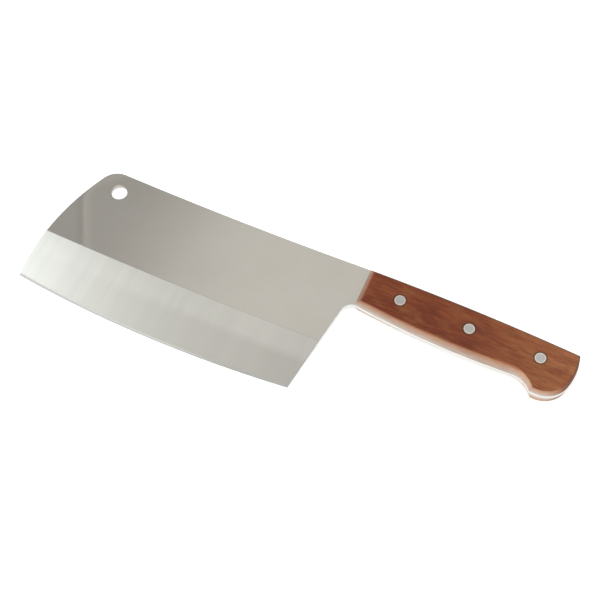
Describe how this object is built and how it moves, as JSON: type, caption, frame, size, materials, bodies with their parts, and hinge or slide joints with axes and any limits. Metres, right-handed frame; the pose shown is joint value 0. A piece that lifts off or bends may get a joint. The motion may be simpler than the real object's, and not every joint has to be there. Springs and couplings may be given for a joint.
{
  "type": "chinese cleaver",
  "caption": "Chinese cleaver with a broad ground steel blade, a hanging hole and a full tang riveted between hooked wooden scales.",
  "frame": {"origin": "centre of the hanging hole, midway through the thickness of the blade", "axes": "+X along the line of the rivets towards the butt of the handle, +Y towards the spine, +Z out of the left side of the blade; the cleaver lies flat on its right side"},
  "size_m": [0.3266, 0.0983, 0.0132],
  "materials": {
    "blade_steel": "satin",
    "handle_wood": "oiled",
    "rivet_metal": "satin"
  },
  "bodies": {
    "root": {"blade": "blade_steel", "left_scale": "handle_wood", "right_scale": "handle_wood", "front_rivet_sleeve": "rivet_metal", "front_rivet_stud": "rivet_metal", "middle_rivet_sleeve": "rivet_metal", "middle_rivet_stud": "rivet_metal", "rear_rivet_sleeve": "rivet_metal", "rear_rivet_stud": "rivet_metal"}
  },
  "joints": []
}
